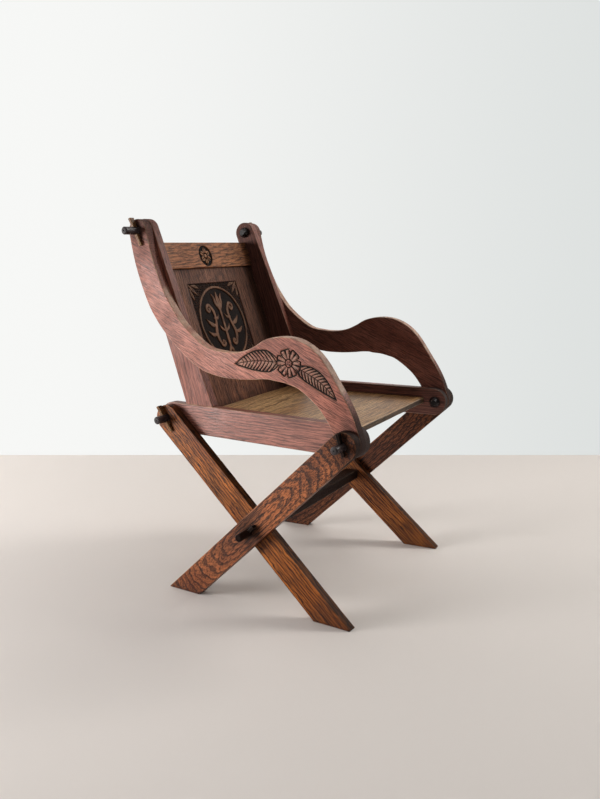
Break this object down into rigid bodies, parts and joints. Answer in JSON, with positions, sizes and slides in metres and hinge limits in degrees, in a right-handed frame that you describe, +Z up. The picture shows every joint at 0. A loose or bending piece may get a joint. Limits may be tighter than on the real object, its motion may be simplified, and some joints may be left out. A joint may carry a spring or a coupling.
{
  "type": "glastonbury chair",
  "caption": "Joined oak armchair with crossed plank legs, S-shaped carved arms, a raked panelled back and through-pegs held by wedges.",
  "frame": {"origin": "on the floor, under the middle of the whole chair", "axes": "+Z up, the chair faces -Y, the sitter's left hand is on +X"},
  "size_m": [0.667, 0.6002, 0.8511],
  "materials": {
    "frame_oak": "waxed oak, reddish brown, soft sheen",
    "leg_oak": "waxed oak, orange brown with dark flame grain",
    "seat_oak": "worn waxed oak, golden",
    "top_rail_oak": "waxed oak, golden brown",
    "panel_oak": "waxed oak, dark brown",
    "stretcher_oak": "waxed oak, very dark, rubbed at the edges",
    "peg_oak": "turned oak, nearly black",
    "wedge_oak": "oak, dark with a rubbed tan top"
  },
  "bodies": {
    "frame": {"seat_board": "seat_oak", "seat_rail_left": "frame_oak", "seat_rail_right": "frame_oak", "back_stile_left": "frame_oak", "back_stile_right": "frame_oak", "back_top_rail": "top_rail_oak", "back_panel": "panel_oak", "arm_left": "frame_oak", "arm_right": "frame_oak", "inner_leg_left": "leg_oak", "inner_leg_right": "leg_oak", "outer_leg_left": "leg_oak", "outer_leg_right": "leg_oak", "stretcher": "stretcher_oak"},
    "arm_top_peg_left": {"arm_top_peg_left": "peg_oak"},
    "arm_top_wedge_left": {"arm_top_wedge_left": "wedge_oak"},
    "seat_front_peg_left": {"seat_front_peg_left": "peg_oak"},
    "seat_front_wedge_left": {"seat_front_wedge_left": "wedge_oak"},
    "seat_rear_peg_left": {"seat_rear_peg_left": "peg_oak"},
    "seat_rear_wedge_left": {"seat_rear_wedge_left": "wedge_oak"},
    "stretcher_wedge_left": {"stretcher_wedge_left": "wedge_oak"},
    "arm_top_peg_right": {"arm_top_peg_right": "peg_oak"},
    "arm_top_wedge_right": {"arm_top_wedge_right": "wedge_oak"},
    "seat_front_peg_right": {"seat_front_peg_right": "peg_oak"},
    "seat_front_wedge_right": {"seat_front_wedge_right": "wedge_oak"},
    "seat_rear_peg_right": {"seat_rear_peg_right": "peg_oak"},
    "seat_rear_wedge_right": {"seat_rear_wedge_right": "wedge_oak"},
    "stretcher_wedge_right": {"stretcher_wedge_right": "wedge_oak"}
  },
  "joints": [
    {"name": "arm_top_peg_turn_left", "type": "hinge", "parent": "frame", "child": "arm_top_peg_left", "pos_m": [0.19905, 0.27156, 0.822], "axis": [0.9982, 0.0593, 0], "range_deg": [-45, 45]},
    {"name": "arm_top_wedge_lift_left", "type": "slide", "parent": "arm_top_peg_left", "child": "arm_top_wedge_left", "axis": [-0.0222, 0.3739, 0.9272], "range_m": [0, 0.045]},
    {"name": "seat_front_peg_turn_left", "type": "hinge", "parent": "frame", "child": "seat_front_peg_left", "pos_m": [0.23132, -0.27148, 0.4], "axis": [0.9982, 0.0593, 0], "range_deg": [-45, 45]},
    {"name": "seat_front_wedge_lift_left", "type": "slide", "parent": "seat_front_peg_left", "child": "seat_front_wedge_left", "axis": [-0.0133, 0.2246, 0.9744], "range_m": [0, 0.03]},
    {"name": "seat_rear_peg_turn_left", "type": "hinge", "parent": "frame", "child": "seat_rear_peg_left", "pos_m": [0.20315, 0.20268, 0.4], "axis": [0.9982, 0.0593, 0], "range_deg": [-45, 45]},
    {"name": "seat_rear_wedge_lift_left", "type": "slide", "parent": "seat_rear_peg_left", "child": "seat_rear_wedge_left", "axis": [-0.0297, 0.4991, 0.866], "range_m": [0, 0.045]},
    {"name": "stretcher_wedge_lift_left", "type": "slide", "parent": "frame", "child": "stretcher_wedge_left", "axis": [0.0419, -0.7059, 0.7071], "range_m": [0, 0.033]},
    {"name": "arm_top_peg_turn_right", "type": "hinge", "parent": "frame", "child": "arm_top_peg_right", "pos_m": [-0.19905, 0.27156, 0.822], "axis": [-0.9982, 0.0593, 0], "range_deg": [-45, 45]},
    {"name": "arm_top_wedge_lift_right", "type": "slide", "parent": "arm_top_peg_right", "child": "arm_top_wedge_right", "axis": [0.0222, 0.3739, 0.9272], "range_m": [0, 0.045]},
    {"name": "seat_front_peg_turn_right", "type": "hinge", "parent": "frame", "child": "seat_front_peg_right", "pos_m": [-0.23132, -0.27148, 0.4], "axis": [-0.9982, 0.0593, 0], "range_deg": [-45, 45]},
    {"name": "seat_front_wedge_lift_right", "type": "slide", "parent": "seat_front_peg_right", "child": "seat_front_wedge_right", "axis": [0.0133, 0.2246, 0.9744], "range_m": [0, 0.03]},
    {"name": "seat_rear_peg_turn_right", "type": "hinge", "parent": "frame", "child": "seat_rear_peg_right", "pos_m": [-0.20315, 0.20268, 0.4], "axis": [-0.9982, 0.0593, 0], "range_deg": [-45, 45]},
    {"name": "seat_rear_wedge_lift_right", "type": "slide", "parent": "seat_rear_peg_right", "child": "seat_rear_wedge_right", "axis": [0.0297, 0.4991, 0.866], "range_m": [0, 0.045]},
    {"name": "stretcher_wedge_lift_right", "type": "slide", "parent": "frame", "child": "stretcher_wedge_right", "axis": [-0.0419, -0.7059, 0.7071], "range_m": [0, 0.033]}
  ]
}
